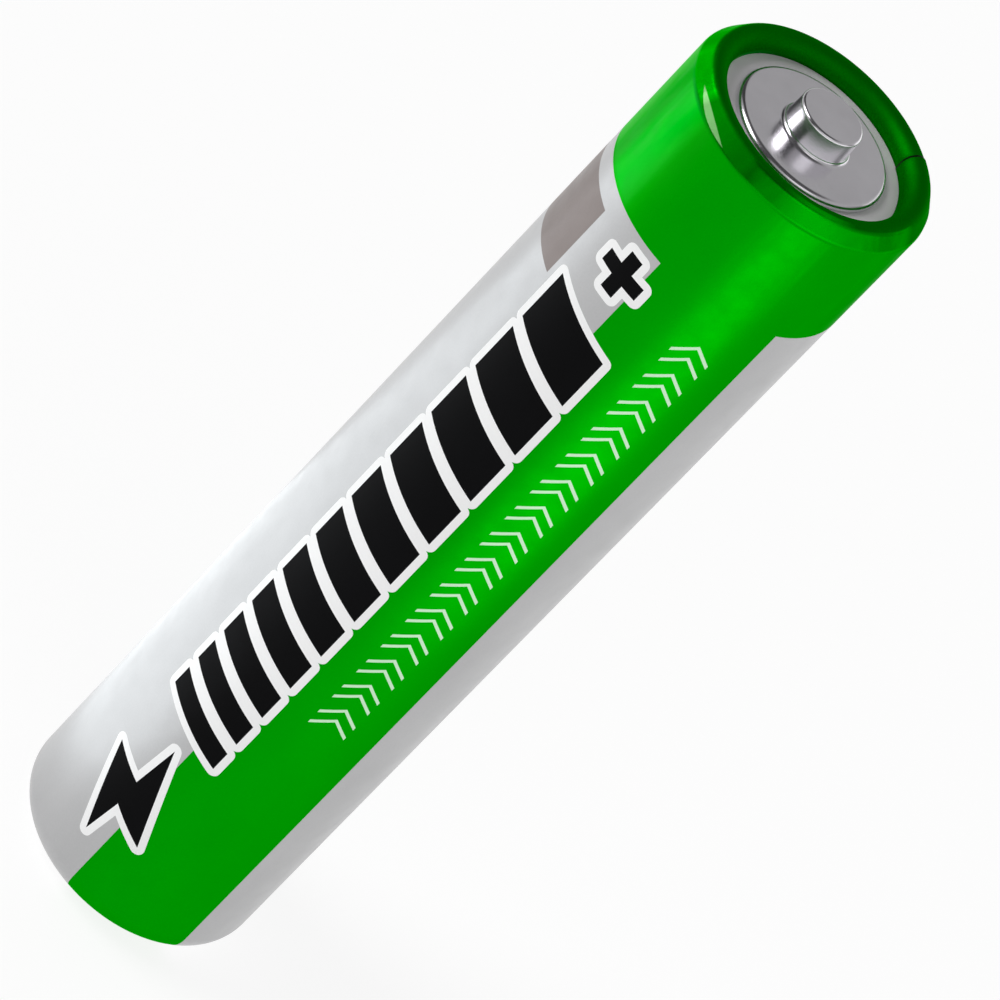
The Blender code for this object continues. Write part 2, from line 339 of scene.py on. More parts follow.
def beyond(tree, radius, soft=0.08):
    """1 further from the axis than a radius in mm, with an edge soft mm wide."""
    x, y, _ = axis_parts(tree)
    flat = add(tree, "CombineXYZ", {0: x, 1: y}).outputs[0]
    distance = add(tree, "VectorMath", {0: flat}, operation="LENGTH").outputs["Value"]
    return spread(tree, distance, (radius - soft / 2) * MM, (radius + soft / 2) * MM)


def collar_gloss(tree):
    """Weight of the clear gloss that lies in streaks down the left of the collar."""
    streaks = spread(tree, noise(tree, 0.9, 3, (1, 1, 0.18)), 0.35, 0.65, 0.0, 0.14)
    return product(tree, streaks, patch(tree, way_round(tree), *GLOSS_STREAKS), on_collar(tree))


def dull_shaded_film(tree):
    """1 where the shrunk film is dull and its green is painted darker as shade: on the crest, in the mouth
    and on two parts of the shoulder.
    """
    angle = way_round(tree)
    sides = calc(tree, "MAXIMUM", patch(tree, angle, *DULL_SHADED_LEFT), patch(tree, angle, *DULL_SHADED_RIGHT))
    crest = calc(tree, "SUBTRACT", 1.0, beyond(tree, DULL_SHADED_RADIUS))
    return calc(tree, "MAXIMUM", crest, product(tree, sides, on_rim(tree)))


def shoulder_glint(tree):
    """1 on a pale lens-shaped glint painted on the film on the left of the bevelled shoulder."""
    from_middle = calc(tree, "SUBTRACT", way_round(tree), GLINT_AT)
    along = calc(tree, "DIVIDE", from_middle, GLINT_REACH)
    middle = calc(tree, "SUBTRACT", GLINT_HEIGHT * MM, product(tree, along, GLINT_LEAN * MM))
    offset_up = calc(tree, "ABSOLUTE", calc(tree, "SUBTRACT", axis_parts(tree)[2], middle))
    bulge = calc(tree, "SUBTRACT", 1.0, product(tree, along, along))
    inner = calc(tree, "SUBTRACT", product(tree, bulge, GLINT_HALF * MM), offset_up)
    return spread(tree, inner, 0.0, 0.02 * MM)


def green_tones(tree, colour):
    """(place, colour) pairs of painted highlights and painted shade, laid over the plain green ink in this
    order.
    """
    angle = way_round(tree)
    rim = on_rim(tree)
    wall = on_collar(tree)
    painted_highlight_front = product(tree, patch(tree, angle, *PAINTED_HIGHLIGHT_FRONT), rim, beyond(tree, PAINTED_HIGHLIGHT_RADIUS))
    painted_highlight_left = product(tree, patch(tree, angle, *PAINTED_HIGHLIGHT_LEFT), rim, beyond(tree, DULL_SHADED_RADIUS))
    return [
        # painted highlight: the green on the whole rim is painted lighter, standing in for bright
        # reflections on the bevel
        (rim, shade(colour, 1.35)),
        # painted shade: the dull crest and the two dull parts of the shoulder are painted darker
        (dull_shaded_film(tree), shade(colour, 0.78)),
        # painted highlight: a bright streak painted over the rim at the front
        (painted_highlight_front, shade(colour, 2.2)),
        # painted highlight: the left part of the shoulder is painted lighter
        (painted_highlight_left, shade(colour, 2.3)),
        # painted reflection: a cool, brighter green band down the left of the collar
        (product(tree, patch(tree, angle, *PAINTED_SHEEN_SIDE), wall), (0.0, 0.42, 0.048, 1)),
        # painted sheen: a pale band where the collar turns away at its left silhouette
        (product(tree, patch(tree, angle, *PAINTED_GLANCE_SIDE), wall), (0.26, 0.60, 0.24, 1)),
        # painted shade: the collar is darkened towards its right silhouette
        (product(tree, patch(tree, angle, *PAINTED_SHADE_SIDE), wall), shade(colour, 0.70)),
        # painted highlight: the pale lens of the glint on the shoulder
        (shoulder_glint(tree), (0.24, 0.54, 0.20, 1)),
    ]


def ink(name, colour, metallic, roughness, coat, contrast, gloss=0.2, glance=(1, 1, 1)):
    """One ink of the printed film, with the mottle and grain of gravure printing.

    The glance is the tint that its reflections keep when it is seen nearly edge on.
    """
    material, tree, shader = finish_material(
        name,
        colour,
        Metallic=metallic,
        Coat_Weight=coat,
        Coat_Roughness=0.10,
        Specular_IOR_Level=gloss,
        Specular_Tint=(*glance, 1),
    )
    cloud = noise(tree, 2.2, 3, (1, 1, 0.45))
    grain = noise(tree, 0.07, 1)
    tone = calc(tree, "ADD", product(tree, cloud, 0.65), product(tree, grain, 0.35))
    tone = spread(tree, tone, 0.3, 0.7)
    colours = blended(tree, tone, shade(colour, 1 - contrast), shade(colour, 1 + contrast))
    rough = spread(tree, noise(tree, 0.8, 3), 0.3, 0.7, roughness * 0.88, roughness * 1.12)
    feed(tree, shader, Base_Color=colours, Roughness=rough, Normal=film_relief(tree))
    return material


def green_ink():
    """The green ink, with highlights and shade painted into its colour round the rim and collar, and
    rougher where it is dull.
    """
    colour = (0.0, 0.30, 0.001)
    material = ink("ink_green", colour, 1.0, 0.34, 0.0, 0.05, glance=(0.0, 0.75, 0.02))
    tree = material.node_tree
    shader = tree.nodes["Principled BSDF"]
    colours = shader.inputs["Base Color"].links[0].from_socket
    rough = shader.inputs["Roughness"].links[0].from_socket
    for amount, tone in green_tones(tree, colour):
        colours = blended(tree, amount, colours, tone)
    rough = calc(tree, "MAXIMUM", rough, product(tree, dull_shaded_film(tree), 0.62))
    feed(tree, shader, Base_Color=colours, Roughness=rough, Coat_Weight=collar_gloss(tree))
    return material


def sleeve_materials():
    """The sleeve's inks in the order of their slots, the dark film edge last, which also paints the shade
    along the seam.
    """
    return {
        "silver": ink("ink_silver", (0.47, 0.47, 0.475), 0.50, 0.36, 0.05, 0.05),
        "green": green_ink(),
        "grey": ink("ink_grey", (0.21, 0.177, 0.168), 0.35, 0.40, 0.05, 0.05),
        "black": ink("ink_black", (0.002, 0.002, 0.0025), 0.0, 0.42, 0.0, 0.30, gloss=0.04),
        "white": ink("ink_white", (0.92, 0.92, 0.92), 0.0, 0.45, 0.05, 0.02),
        "pale": ink("ink_pale_green", (0.60, 0.86, 0.60), 0.1, 0.42, 0.05, 0.03),
        # the film's cut edges; along the seam this dark ink is painted shade
        "edge": ink("film_edge_and_seam_shade", (0.001, 0.012, 0.001), 0.0, 0.45, 0.0, 0.20, gloss=0.04),
    }


# ---------------------------------------------------------------- outlines on the print

def outlined(outline, distance):
    """An anticlockwise outline grown by distance, with rounded outer corners."""
    grown = []
    count = len(outline)
    for index in range(count):
        before = Vector(outline[index - 1])
        here = Vector(outline[index])
        after = Vector(outline[(index + 1) % count])
        way_in = (here - before).normalized()
        way_out = (after - here).normalized()
        first = Vector((way_in.y, -way_in.x))
        last = Vector((way_out.y, -way_out.x))
        turn = way_in.angle_signed(way_out)
        if way_in.cross(way_out) > 0:
            steps = max(1, ceil(abs(turn) / radians(20)))
            for step in range(steps + 1):
                spoke = first.slerp(last, step / steps) if steps > 1 else (first, last)[step]
                grown.append(tuple(here + spoke * distance))
        else:
            middle = (first + last).normalized()
            grown.append(tuple(here + middle * distance / middle.dot(first)))
    return grown


def slanted_bar(bottom, width):
    """One bar of the motif: its foot starts at h = bottom, and it leans along the cell."""
    lean = SLANT * (MOTIF_TOP - MOTIF_FOOT)
    return [
        (MOTIF_FOOT, bottom),
        (MOTIF_FOOT, bottom + width),
        (MOTIF_TOP, bottom + width + lean),
        (MOTIF_TOP, bottom + lean),
    ]


def motif_bars():
    bars = []
    bottom = BAR_START
    for index in range(BARS):
        width = FIRST_BAR + (LAST_BAR - FIRST_BAR) * index / (BARS - 1)
        bars.append(slanted_bar(bottom, width))
        bottom += width + BAR_GAP
    return bars


def bolt_outline():
    """A plain lightning flash lying across the motif, read with the negative end at the left."""
    return [
        (-3.15, 6.7),
        (-1.70, 3.1),
        (-1.45, 5.0),
        (0.20, 4.3),
        (-1.25, 8.6),
        (-1.50, 6.3),
    ]


def plus_outline(centre_s, centre_h, reach, half):
    """A plus sign, anticlockwise."""
    corners = [
        (reach, -half), (reach, half), (half, half), (half, reach), (-half, reach), (-half, half),
        (-reach, half), (-reach, -half), (-half, -half), (-half, -reach), (half, -reach), (half, -half),
    ]
    return [(centre_s + ds, centre_h + dh) for ds, dh in corners]


def box_outline(low_s, high_s, low_h, high_h):
    return [(low_s, low_h), (high_s, low_h), (high_s, high_h), (low_s, high_h)]


def chevron_outline(bottom):
    left, right = CHEVRON_SPAN
    middle = (left + right) / 2
    slope = Vector((middle - left, CHEVRON_RISE)).normalized()
    lift = CHEVRON_STROKE / slope.x
    return [
        (left, bottom),
        (middle, bottom + CHEVRON_RISE),
        (right, bottom),
        (right, bottom + lift),
        (middle, bottom + CHEVRON_RISE + lift),
        (left, bottom + lift),
    ]


def anticlockwise(outline):
    pairs = zip(outline, outline[1:] + outline[:1])
    area = sum(a[0] * b[1] - b[0] * a[1] for a, b in pairs)
    return outline if area > 0 else outline[::-1]


def green_panels():
    """(ink, outline) pairs of the large areas, which reach past the film's own edges."""
    foot = SLEEVE_FOOT - 1
    top = SLEEVE_TOP + 1
    left = SEAM_AT - 2 * pi * LABEL_RADIUS
    return [
        ("green", box_outline(*BACK_STRIPE, foot, COLLAR)),
        ("green", box_outline(*BAND, foot, COLLAR)),
        ("green", box_outline(left - 1, SEAM_AT + 1, COLLAR, top)),
    ]


def printed_marks():
    """(ink, outline) pairs of the marks, the lowest first; what nothing covers is silver."""
    marks = []
    for index in range(CHEVRONS):
        first = CHEVRON_START + index * CHEVRON_PITCH
        marks.append(("pale", chevron_outline(first)))
        marks.append(("pale", chevron_outline(first + CHEVRON_DOUBLE)))
    signs = [anticlockwise(outline) for outline in motif_bars()]
    signs.append(anticlockwise(bolt_outline()))
    signs.append(plus_outline(*FRONT_PLUS))
    marks += [("white", outlined(outline, KEYLINE)) for outline in signs]
    marks += [("black", outline) for outline in signs]
    marks.append(("grey", box_outline(*GREY_BLOCK)))
    marks.append(("white", plus_outline(*BLOCK_PLUS)))
    marks.append(("grey", plus_outline(*BACK_PLUS)))
    marks.append(("grey", box_outline(*BACK_MINUS)))
    return marks


# ---------------------------------------------------------------- sleeve shape

def label_corners():
    """(radius, height, bend) of the film's face, from its edge in the mouth to the negative end."""
    return [
        (MOUTH_RADIUS, MOUTH_BOTTOM, 0),
        (MOUTH_RADIUS, RIM_TOP, RIM_INNER_BEND),
        (RIM_EDGE_RADIUS, RIM_TOP, RIM_CREST_BEND),
        (LABEL_RADIUS, SHOULDER_HEIGHT, SHOULDER_BEND),
        (LABEL_RADIUS, HEEL_BOTTOM, HEEL_BEND),
        (HEEL_EDGE_RADIUS, HEEL_BOTTOM, 0),
    ]


def film_path():
    """The film's face upwards as (length, bend, start, heading) pieces; a straight one has bend 0."""
    corners = label_corners()[::-1]
    points = [Vector(corner[:2]) for corner in corners]
    sides = [ahead - here for here, ahead in zip(points, points[1:])]
    headings = [atan2(side.y, side.x) for side in sides]
    pieces = []
    start = points[0]
    used = 0.0
    for index, side in enumerate(sides):
        bend = corners[index + 1][2]
        turn = (headings[index + 1] - headings[index]) % (2 * pi) if bend else 0.0
        reach = bend * tan(turn / 2)
        length = side.length - used - reach
        pieces.append((length, 0.0, start, headings[index]))
        end = start + side.normalized() * length
        if bend:
            pieces.append((bend * turn, bend, end, headings[index]))
            start = points[index + 1] + sides[index + 1].normalized() * reach
        used = reach
    return pieces


WALL_PIECE = 2                                # the wall's place among the pieces of the film
CREST_PIECE = 5
FILM_PATH = film_path()
WALL_FOOT = HEEL_BOTTOM + HEEL_BEND
SLEEVE_FOOT = WALL_FOOT - sum(piece[0] for piece in FILM_PATH[:WALL_PIECE])
WALL_TOP = WALL_FOOT + FILM_PATH[WALL_PIECE][0]
CREST = SLEEVE_FOOT + sum(piece[0] for piece in FILM_PATH[:CREST_PIECE + 1])
SLEEVE_TOP = SLEEVE_FOOT + sum(piece[0] for piece in FILM_PATH)


def sleeve_profile(h):
    """(radius, height, outward radial part, outward upward part) of the film's face at h."""
    travel = h - SLEEVE_FOOT
    for length, bend, start, heading in FILM_PATH[:-1]:
        if travel <= length:
            break
        travel -= length
    else:
        length, bend, start, heading = FILM_PATH[-1]
    if bend:
        centre = start + Vector((-sin(heading), cos(heading))) * bend
        heading += travel / bend
        point = centre + Vector((sin(heading), -cos(heading))) * bend
    else:
        point = start + Vector((cos(heading), sin(heading))) * travel
    return point.x, point.y, sin(heading), -cos(heading)


def ease(value):
    value = min(max(value, 0.0), 1.0)
    return value * value * (3 - 2 * value)


def seam_drift(h):
    """How far round the film leans at h, as an angle."""
    over_shoulder = ease((h - WALL_TOP + DRIFT_START) / (CREST - WALL_TOP + DRIFT_START))
    into_mouth = ease((h - CREST) / (SLEEVE_TOP - CREST))
    return SEAM_DRIFT_CREST * over_shoulder + (SEAM_DRIFT_MOUTH - SEAM_DRIFT_CREST) * into_mouth


def on_sleeve(s, h, depth=0.0):
    """(point in metres, outward normal) on the film, depth mm below its face."""
    r, z, out, up = sleeve_profile(h)
    proud = STEP * ease((s - (SEAM_AT - LAP - LAP_EASE)) / LAP_EASE) if depth == 0 else 0.0
    angle = s / LABEL_RADIUS - pi / 2 + seam_drift(h)
    shift = proud - depth
    r += out * shift
    z += up * shift
    normal = Vector((out * cos(angle), out * sin(angle), up))
    return Vector((r * cos(angle), r * sin(angle), z)) * MM, normal


def steps_between(low, high, step):
    count = max(1, ceil((high - low) / step - 0.01))
    return [low + (high - low) * index / count for index in range(count + 1)]


def with_marks(values, marks, clear):
    """Sorted grid values with the marks added, and the plain ones that crowd a mark left out."""
    ends = (min(values), max(values))
    kept = [v for v in values if v in ends or all(abs(v - mark) > clear for mark in marks)]
    grid = []
    for value in sorted(kept + list(marks)):
        if not grid or value - grid[-1] > SAME:
            grid.append(value)
    return grid


def sleeve_grid():
    """Columns and rows of the film's face, with the straight printed edges among them."""
    start = SEAM_AT - 2 * pi * LABEL_RADIUS
    end = SEAM_AT - SEAM_WIDTH
    columns = steps_between(start, end, LABEL_RADIUS * COLUMN_STEP)
    columns = with_marks(columns, [*BAND, *BACK_STRIPE, *GREY_BLOCK[:2]], LINE_CLEAR)
    rows = []
    foot = SLEEVE_FOOT
    for length, bend, _, _ in FILM_PATH:
        step = bend * BEND_ROW or (WALL_ROW if length > WALL_ROW else SHORT_ROW)
        rows += steps_between(foot, foot + length, step)
        foot += length
    rows = with_marks(rows, [COLLAR, *GREY_BLOCK[2:]], LINE_CLEAR)
    return columns, rows


def distance_to_edges(points, starts, ends):
    """Distance from each point to the nearest of the edges."""
    nearest = np.full(len(points), 1e9)
    for start, end in zip(starts, ends):
        way = end - start
        share = np.clip((points - start) @ way / (way @ way), 0, 1)
        gap = np.hypot(*(points - (start + share[:, None] * way)).T)
        nearest = np.minimum(nearest, gap)
    return nearest


def inside(points, outline):
    """True for each point that lies inside a closed outline."""
    found = np.zeros(len(points), bool)
    for (s0, h0), (s1, h1) in zip(outline, outline[1:] + outline[:1]):
        crosses = (points[:, 1] < h0) != (points[:, 1] < h1)
        with np.errstate(divide="ignore", invalid="ignore"):
            at = s0 + (points[:, 1] - h0) * (s1 - s0) / (h1 - h0)
        found ^= crosses & (points[:, 0] < at)
    return found


def subdivided(outline):
    """The outline's corners with points between them, so that each piece is short in s."""
    line = []
    for start, end in zip(outline, outline[1:] + outline[:1]):
        pieces = max(1, ceil(abs(end[0] - start[0]) / EDGE_STEP))
        for index in range(pieces):
            share = index / pieces
            line.append((start[0] + (end[0] - start[0]) * share, start[1] + (end[1] - start[1]) * share))
    return line


def film_face(columns, rows):
    """The unrolled film face: its points, triangles, their inks, and its four borders.

    The grid already follows the edges of the panels; the marks are cut into it as loops.
    """
    marks = printed_marks()
    loops = [subdivided(outline) for _, outline in marks]
    starts = np.array([point for loop in loops for point in loop])
    ends = np.array([point for loop in loops for point in loop[1:] + loop[:1]])
    grid = np.array([(s, h) for h in rows for s in columns])
    at_ends = (np.abs(grid[:, 0] - columns[0]) < SAME) | (np.abs(grid[:, 0] - columns[-1]) < SAME)
    grid = grid[at_ends | (distance_to_edges(grid, starts, ends) > CLEAR)]
    points = [Vector(point) for point in grid]
    index_at = {tuple(point): index for index, point in enumerate(grid.tolist())}

    def along_column(s):
        return [index_at[s, h] for h in rows if (s, h) in index_at]

    def along_row(h):
        return [index_at[s, h] for s in columns if (s, h) in index_at]

    borders = [along_column(columns[0]), along_column(columns[-1]), along_row(rows[0]), along_row(rows[-1])]
    printed = [along_column(s) for s in (*BAND, *BACK_STRIPE)] + [along_row(COLLAR)]
    edges = [pair for line in borders + printed for pair in zip(line, line[1:])]
    for loop in loops:
        first = len(points)
        points += [Vector(point) for point in loop]
        edges += [(first + i, first + (i + 1) % len(loop)) for i in range(len(loop))]
    points, _, triangles, sources, _, _ = delaunay_2d_cdt(points, edges, [], 0, 1e-5)
    now_at = {source: index for index, found in enumerate(sources) for source in found}
    borders = [[now_at[index] for index in line] for line in borders]
    points = np.array([tuple(point) for point in points])
    triangles = np.array(triangles)
    centres = points[triangles].mean(axis=1)
    inks = np.full(len(triangles), "silver", dtype=object)
    for name, outline in green_panels() + marks:
        inks[inside(centres, outline)] = name
    return points, triangles, inks, borders


def back_rings(columns, rows):
    """Points and outward normals of the film's back, in rings; the straight wall needs no rows."""
    kept = [row for row in rows if row <= WALL_FOOT or row >= WALL_TOP][::2]
    kept = with_marks(kept, [rows[0], rows[-1], WALL_FOOT, WALL_TOP], SAME)
    rings = []
    for h in kept:
        placed = [on_sleeve(s, h, FILM) for s in columns]
        rings.append([(point, -normal) for point, normal in placed])
    return rings


def make_sleeve():
    """The printed film: its face as one mesh cut along every printed edge, and its back."""
    columns, rows = sleeve_grid()
    points, triangles, inks, borders = film_face(columns, rows)
    left, right, foot, top = borders
    materials = sleeve_materials()
    slot_of = {name: index for index, name in enumerate(materials)}
    placed = [on_sleeve(s, h) for s, h in points]
    faces = []
    slots = []
    curved = []

    def add_face(corners, name, follows_film=False):
        faces.append(corners)
        slots.append(slot_of[name])
        curved.append(follows_film)

    for triangle, name in zip(triangles, inks):
        add_face(tuple(int(i) for i in triangle), name, follows_film=True)
    for lower in range(len(rows) - 1):
        # painted shade: the seam's strip takes the dark edge ink, standing in for the shadow in the slit
        # under the lapped end
        add_face((right[lower], left[lower], left[lower + 1], right[lower + 1]), "edge")
    back = []
    for ring in back_rings(columns, rows):
        back.append(range(len(placed), len(placed) + len(ring)))
        placed += ring
    neighbours = [(i, (i + 1) % len(columns)) for i in range(len(columns))]
    for lower, upper in zip(back, back[1:]):
        for i, j in neighbours:
            add_face((lower[j], lower[i], upper[i], upper[j]), "white", follows_film=True)
    for i, j in neighbours:
        add_face((foot[j], foot[i], back[0][i], back[0][j]), "edge")
        add_face((top[i], top[j], back[-1][j], back[-1][i]), "green")

    mesh = bpy.data.meshes.new("printed_sleeve")
    mesh.from_pydata([tuple(point) for point, _ in placed], [], faces)
    for material in materials.values():
        mesh.materials.append(material)
    mesh.polygons.foreach_set("material_index", slots)
    mesh.shade_smooth()
    mesh.update()
    corner_normals = []
    for polygon, follows_film in zip(mesh.polygons, curved):
        for vertex in polygon.vertices:
            corner_normals.append(placed[vertex][1] if follows_film else polygon.normal.copy())
    exact = mesh.attributes.new("custom_normal", "FLOAT_VECTOR", "CORNER")
    exact.data.foreach_set("vector", np.array(corner_normals, np.float32).ravel())
    sleeve = bpy.data.objects.new("printed_sleeve", mesh)
    bpy.context.scene.collection.objects.link(sleeve)
    return sleeve


# ---------------------------------------------------------------- turned pieces

TURNED_SEGMENTS = 144
BEND_STEP = radians(9)


def rounded(corners):
    """A section line through (radius, height, bend) corners, with an arc in place of each bend."""
    line = []
    for index, (r, z, bend) in enumerate(corners):
        here = Vector((r, z))
        if bend <= 0 or index in (0, len(corners) - 1):
            line.append((r, z))
            continue
        back = (Vector(corners[index - 1][:2]) - here).normalized()
        ahead = (Vector(corners[index + 1][:2]) - here).normalized()
        opening = back.angle(ahead)
        turn = pi - opening
        reach = bend / tan(opening / 2)
        centre = here + (back + ahead).normalized() * bend / sin(opening / 2)
        first = here + back * reach - centre
        last = here + ahead * reach - centre
        steps = max(2, round(turn / BEND_STEP))
        for step in range(steps + 1):
            share = step / steps
            spoke = (first * sin(turn * (1 - share)) + last * sin(turn * share)) / sin(turn)
            line.append(tuple(centre + spoke))
    return line


def offset(corners, distance):
    """The same corners moved by distance to the right of travel, with bends that stay concentric."""
    moved = []
    points = [Vector(corner[:2]) for corner in corners]
    for index, (here, corner) in enumerate(zip(points, corners)):
        ways = []
        if index > 0:
            ways.append((here - points[index - 1]).normalized())
        if index < len(points) - 1:
            ways.append((points[index + 1] - here).normalized())
        normals = [Vector((way.y, -way.x)) for way in ways]
        middle = sum(normals, Vector((0, 0))).normalized()
        place_of = here + middle * distance / middle.dot(normals[0])
        turns_right = len(ways) == 2 and ways[0].cross(ways[1]) < 0
        change = -distance if turns_right else distance
        bend = max(corner[2] + change, 0) if corner[2] > 0 else 0
        moved.append((place_of.x, place_of.y, bend))
    return moved


def sheet_section(corners, thickness):
    """The closed section of a pressed sheet whose outer face follows the corners."""
    return rounded(corners) + rounded(offset(corners, thickness))[::-1]


def turned(name, section, material):
    """A solid of revolution about Z from a section of (radius, height) points in mm."""
    bm = bmesh.new()
    points = [bm.verts.new((r * MM, 0, z * MM)) for r, z in section]
    edges = [bm.edges.new(pair) for pair in zip(points, points[1:])]
    if section[0][0] > 0 or section[-1][0] > 0:
        edges.append(bm.edges.new((points[-1], points[0])))
    bmesh.ops.spin(
        bm,
        geom=points + edges,
        cent=(0, 0, 0),
        axis=(0, 0, 1),
        angle=2 * pi,
        steps=TURNED_SEGMENTS,
        use_merge=True,
    )
    bmesh.ops.remove_doubles(bm, verts=bm.verts, dist=1e-8)
    bmesh.ops.recalc_face_normals(bm, faces=bm.faces)
    mesh = bpy.data.meshes.new(name)
    bm.to_mesh(mesh)
    bm.free()
    mesh.materials.append(material)
    mesh.shade_smooth()
    mesh.set_sharp_from_angle(angle=radians(30))
    piece = bpy.data.objects.new(name, mesh)
    bpy.context.scene.collection.objects.link(piece)
    return piece


def drill_ring(piece, count, radius, circle, bottom, top):
    """Cuts a ring of upright holes right through a piece, for good."""
    bm = bmesh.new()
    for index in range(count):
        angle = 2 * pi * (index + 0.5) / count
        drill = bmesh.ops.create_cone(
            bm,
            cap_ends=True,
            segments=32,
            radius1=radius * MM,
            radius2=radius * MM,
            depth=(top - bottom) * MM,
        )
        centre = Vector((circle * cos(angle), circle * sin(angle), (top + bottom) / 2)) * MM
        bmesh.ops.translate(bm, verts=drill["verts"], vec=centre)
    mesh = bpy.data.meshes.new("drill")
    bm.to_mesh(mesh)
    bm.free()
    cutter = bpy.data.objects.new("drill", mesh)
    bpy.context.scene.collection.objects.link(cutter)
    cut = piece.modifiers.new("holes", "BOOLEAN")
    cut.operation = "DIFFERENCE"
    cut.object = cutter
    bpy.context.view_layer.update()
    drilled = bpy.data.meshes.new_from_object(piece.evaluated_get(bpy.context.evaluated_depsgraph_get()))
    piece.modifiers.clear()
    bpy.data.objects.remove(cutter)
    drilled.name = piece.name
    piece.data = drilled


def make_can(material):
    """The drawn can: end face, shoulder, rolled bead and crimp."""
    under_film = offset(label_corners(), FILM + GAP)
    mouth, flank, crest, shoulder, heel = under_film[:5]
    bead = []
    for step in range(BEAD_STEPS + 1):
        way_down = 2 * step / BEAD_STEPS - 1
        depth = BEAD_DEPTH * (1 + cos(pi * way_down)) / 2
        bead.append((CAN_RADIUS - depth, BEAD_CENTRE - BEAD_HALF_HEIGHT * way_down, 0))
    corners = [
        (0, END_FACE, 0),
        (mouth[0], END_FACE, 0),
        flank,
        crest,
        shoulder,
        *bead,
        heel,
        (CRIMP_EDGE_RADIUS, heel[1], 0),
    ]
    return turned("drawn_can", sheet_section(corners, CAN_WALL), material)


def make_positive_cap(material):
    corners = [
        (0, CAP_TOP, 0),
        (NUB_RADIUS - NUB_DRAFT, CAP_TOP, NUB_EDGE_BEND),
        (NUB_RADIUS + NUB_DRAFT, DISC_TOP, NUB_FOOT_BEND),
        (DISC_RADIUS, DISC_TOP, DISC_EDGE_BEND),
        (DISC_RADIUS, CAP_LOW.z, 0),
    ]
    return turned("positive_terminal", sheet_section(corners, CAP_STEEL), material)


def make_negative_cap(material):
    corners = [
        (FLANGE_RADIUS, FLANGE_HEIGHT, 0),
        (LEDGE_RADIUS, FLANGE_HEIGHT, 0),
        (LEDGE_RADIUS, LEDGE_HEIGHT, LEDGE_BEND),
        (CONTACT_RADIUS, LEDGE_HEIGHT, CONTACT_FOOT_BEND),
        (CONTACT_RADIUS, 0, CONTACT_EDGE_BEND),
        (0, 0, 0),
    ]
    terminal = turned("negative_terminal", sheet_section(corners, BASE_STEEL), material)
    drill_ring(terminal, BASE_VENTS, BASE_VENT_RADIUS, BASE_VENT_CIRCLE, bottom=-1, top=2)
    return terminal


# ---------------------------------------------------------------- metal and inner materials

NICKEL = (0.84, 0.82, 0.86)
SATIN_NICKEL = (0.98, 0.93, 0.98)             # matt plate, which scatters most of its light


def nickel_plate(name, tint, roughness, metallic=1.0):
    """Nickel-plated steel: soft roller grain, fine handling scratches and a breath of tarnish."""
    material, tree, shader = finish_material(name, tint, Metallic=metallic)
    cloud = noise(tree, 1.4, 3)
    grain = noise(tree, 0.05, 2, (0.12, 1, 1))
    scratch = spread(tree, noise(tree, 0.09, 1, (1, 0.06, 1)), 0.62, 0.70)
    colours = blended(tree, spread(tree, cloud, 0.3, 0.7), shade(tint, 0.95), shade(tint, 1.04))
    worn = calc(tree, "ADD", cloud, product(tree, scratch, 0.15))
    rough = spread(tree, worn, 0.3, 0.8, roughness * 0.90, roughness * 1.15)
    normal = raised(tree, [(grain, 0.0002), (scratch, 0.0001)])
    feed(tree, shader, Base_Color=colours, Roughness=rough, Normal=normal)
    return material


def pressed_powder():
    colour = (0.035, 0.034, 0.036)
    material, tree, shader = finish_material("pressed_manganese_dioxide", colour, Roughness=0.8)
    grains = noise(tree, 0.12, 6, roughness=0.7)
    flecks = spread(tree, noise(tree, 0.05, 1), 0.66, 0.72)
    colours = blended(tree, spread(tree, grains, 0.3, 0.7), shade(colour, 0.6), shade(colour, 1.5))
    colours = blended(tree, flecks, colours, (0.16, 0.16, 0.17, 1))
    rough = spread(tree, flecks, 0, 1, 0.82, 0.45)
    feed(tree, shader, Base_Color=colours, Roughness=rough, Normal=raised(tree, [(grains, 0.03)]))
    return material


def separator_paper():
    colour = (0.78, 0.76, 0.70)
    material, tree, shader = finish_material("separator_paper_fibres", colour, Roughness=0.9)
    across = noise(tree, 0.05, 3, (1, 1, 0.12), 0.6)
    along = noise(tree, 0.05, 3, (0.15, 0.15, 1), 0.6)
    fibres = calc(tree, "MAXIMUM", across, along)
    colours = blended(tree, spread(tree, fibres, 0.4, 0.7), shade(colour, 0.82), shade(colour, 1.06))
    rough = spread(tree, fibres, 0.4, 0.7, 0.95, 0.82)
    feed(tree, shader, Base_Color=colours, Roughness=rough, Normal=raised(tree, [(fibres, 0.012)]))
    return material


def zinc_gel():
    colour = (0.30, 0.31, 0.33)
    material, tree, shader = finish_material("zinc_gel_grains", colour, Metallic=0.35)
    where = place(tree)
    cells = add(tree, "TexVoronoi", {"Vector": where, "Scale": 1 / (0.16 * MM)}).outputs
    shine = spread(tree, cells["Distance"], 0.0, 0.6, 1.0, 0.0)
    colours = blended(tree, shine, shade(colour, 0.55), shade(colour, 1.7))
    rough = spread(tree, shine, 0, 1, 0.55, 0.28)
    feed(tree, shader, Base_Color=colours, Roughness=rough, Normal=raised(tree, [(shine, 0.03)]))
    return material


def drawn_brass():
    colour = (0.78, 0.54, 0.22)
    material, tree, shader = finish_material("drawn_brass", colour, Metallic=1.0)
    lines = noise(tree, 0.04, 2, (1, 1, 0.03))
    stain = noise(tree, 1.3, 4)
    colours = blended(tree, spread(tree, stain, 0.45, 0.75), (*colour, 1), (0.55, 0.34, 0.13, 1))
    rough = spread(tree, lines, 0.3, 0.7, 0.22, 0.36)
    feed(tree, shader, Base_Color=colours, Roughness=rough, Normal=raised(tree, [(lines, 0.002)]))
    return material


